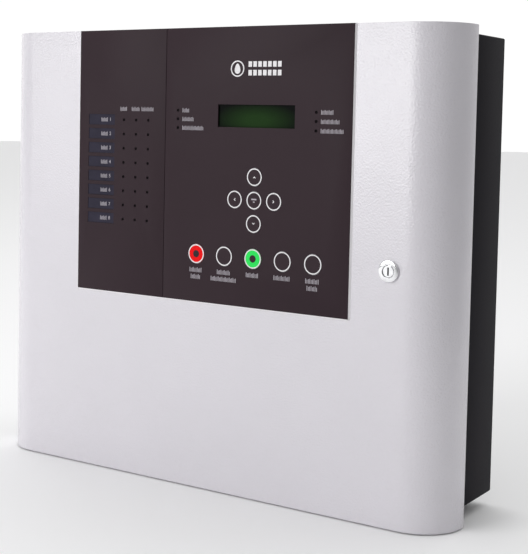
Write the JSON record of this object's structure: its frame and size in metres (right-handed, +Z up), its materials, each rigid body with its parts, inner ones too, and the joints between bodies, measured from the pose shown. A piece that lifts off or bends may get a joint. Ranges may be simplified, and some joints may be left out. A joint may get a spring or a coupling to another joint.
{
  "type": "fire alarm control panel",
  "caption": "Wall-mounted fire alarm control panel: black back box, pale round-sided door on hinges, dark front film with display, keypad and status lights, and a key lock.",
  "frame": {"origin": "centre of the back box's wall face", "axes": "+X to the viewer's right, +Y into the wall, +Z up; the door faces -Y"},
  "size_m": [0.408, 0.1017, 0.346],
  "materials": {
    "box_paint": "satin powder coat",
    "door_paint": "fine leather-texture powder coat",
    "film": "satin printed film",
    "red_key": "satin printed film",
    "green_key": "satin printed film",
    "film_key": "satin printed film",
    "display": "clear window over a green display",
    "label": "label card",
    "lens": "dark lenses, unlit",
    "circuit_board": "solder mask",
    "black_plastic": "moulded",
    "green_plastic": "moulded",
    "white_plastic": "moulded",
    "copper_coil": "wound copper",
    "core_steel": "laminated",
    "battery_case": "moulded",
    "red_lead": "insulated lead",
    "black_lead": "insulated lead",
    "ribbon": "flat cable",
    "chrome": "polished",
    "zinc_steel": "zinc plated"
  },
  "bodies": {
    "box": {"back_box": "box_paint", "box_hinge_lug_bottom": "zinc_steel", "box_hinge_lug_top": "zinc_steel", "lock_keep": "zinc_steel", "main_board_standoff_1": "zinc_steel", "main_board_standoff_2": "zinc_steel", "main_board_standoff_3": "zinc_steel", "main_board_standoff_4": "zinc_steel", "main_board": "circuit_board", "zone_terminals": "green_plastic", "output_terminals": "green_plastic", "battery_terminals": "green_plastic", "controller_chip": "black_plastic", "alarm_relay": "white_plastic", "transformer_core": "core_steel", "transformer_coil": "copper_coil", "mains_terminal_block": "white_plastic", "earth_stud": "zinc_steel", "battery_shelf": "zinc_steel", "battery_left": "battery_case", "battery_right": "battery_case", "battery_strap": "black_plastic", "battery_lead_red": "red_lead", "battery_lead_black": "black_lead", "ribbon_cable": "ribbon"},
    "door": {"door_shell": "door_paint", "door_hinge_bracket_bottom": "zinc_steel", "hinge_pin_bottom": "zinc_steel", "door_hinge_bracket_top": "zinc_steel", "hinge_pin_top": "zinc_steel", "lock_barrel": "chrome", "lock_nut": "zinc_steel", "zone_overlay": "film", "control_overlay": "film", "display_window": "display", "lcd_module": "black_plastic", "zone_label_card": "label", "zone_light_bar_fire": "lens", "zone_light_bar_fault": "lens", "zone_light_bar_disable": "lens", "status_light_bar_left": "lens", "status_light_bar_right": "lens", "display_board": "circuit_board", "zone_board": "circuit_board", "display_board_standoff_1": "zinc_steel", "display_board_standoff_2": "zinc_steel", "display_board_standoff_3": "zinc_steel", "display_board_standoff_4": "zinc_steel"},
    "lock": {"lock_plug": "chrome", "lock_cam": "zinc_steel"},
    "key_up": {"key_up": "film_key"},
    "key_down": {"key_down": "film_key"},
    "key_left": {"key_left": "film_key"},
    "key_right": {"key_right": "film_key"},
    "key_enter": {"key_enter": "film_key"},
    "key_silence_buzzer": {"key_silence_buzzer": "red_key"},
    "key_silence_alarm": {"key_silence_alarm": "film_key"},
    "key_reset": {"key_reset": "green_key"},
    "key_evacuate": {"key_evacuate": "film_key"},
    "key_accept_delay": {"key_accept_delay": "film_key"}
  },
  "joints": [
    {"name": "door_swing", "type": "hinge", "parent": "box", "child": "door", "pos_m": [-0.199, -0.072, 0], "axis": [0, 0, -1], "range_deg": [0, 110], "deforming": ["ribbon_cable"]},
    {"name": "lock_turn", "type": "hinge", "parent": "door", "child": "lock", "pos_m": [0.1593, -0.0739, 0.0026], "axis": [0, -1, 0], "range_deg": [0, 90]},
    {"name": "press_up", "type": "slide", "parent": "door", "child": "key_up", "axis": [0, 1, 0], "range_m": [0, 0.0005], "stiffness_N_per_m": 500},
    {"name": "press_down", "type": "slide", "parent": "door", "child": "key_down", "axis": [0, 1, 0], "range_m": [0, 0.0005], "stiffness_N_per_m": 500},
    {"name": "press_left", "type": "slide", "parent": "door", "child": "key_left", "axis": [0, 1, 0], "range_m": [0, 0.0005], "stiffness_N_per_m": 500},
    {"name": "press_right", "type": "slide", "parent": "door", "child": "key_right", "axis": [0, 1, 0], "range_m": [0, 0.0005], "stiffness_N_per_m": 500},
    {"name": "press_enter", "type": "slide", "parent": "door", "child": "key_enter", "axis": [0, 1, 0], "range_m": [0, 0.0005], "stiffness_N_per_m": 500},
    {"name": "press_silence_buzzer", "type": "slide", "parent": "door", "child": "key_silence_buzzer", "axis": [0, 1, 0], "range_m": [0, 0.0005], "stiffness_N_per_m": 500},
    {"name": "press_silence_alarm", "type": "slide", "parent": "door", "child": "key_silence_alarm", "axis": [0, 1, 0], "range_m": [0, 0.0005], "stiffness_N_per_m": 500},
    {"name": "press_reset", "type": "slide", "parent": "door", "child": "key_reset", "axis": [0, 1, 0], "range_m": [0, 0.0005], "stiffness_N_per_m": 500},
    {"name": "press_evacuate", "type": "slide", "parent": "door", "child": "key_evacuate", "axis": [0, 1, 0], "range_m": [0, 0.0005], "stiffness_N_per_m": 500},
    {"name": "press_accept_delay", "type": "slide", "parent": "door", "child": "key_accept_delay", "axis": [0, 1, 0], "range_m": [0, 0.0005], "stiffness_N_per_m": 500}
  ]
}
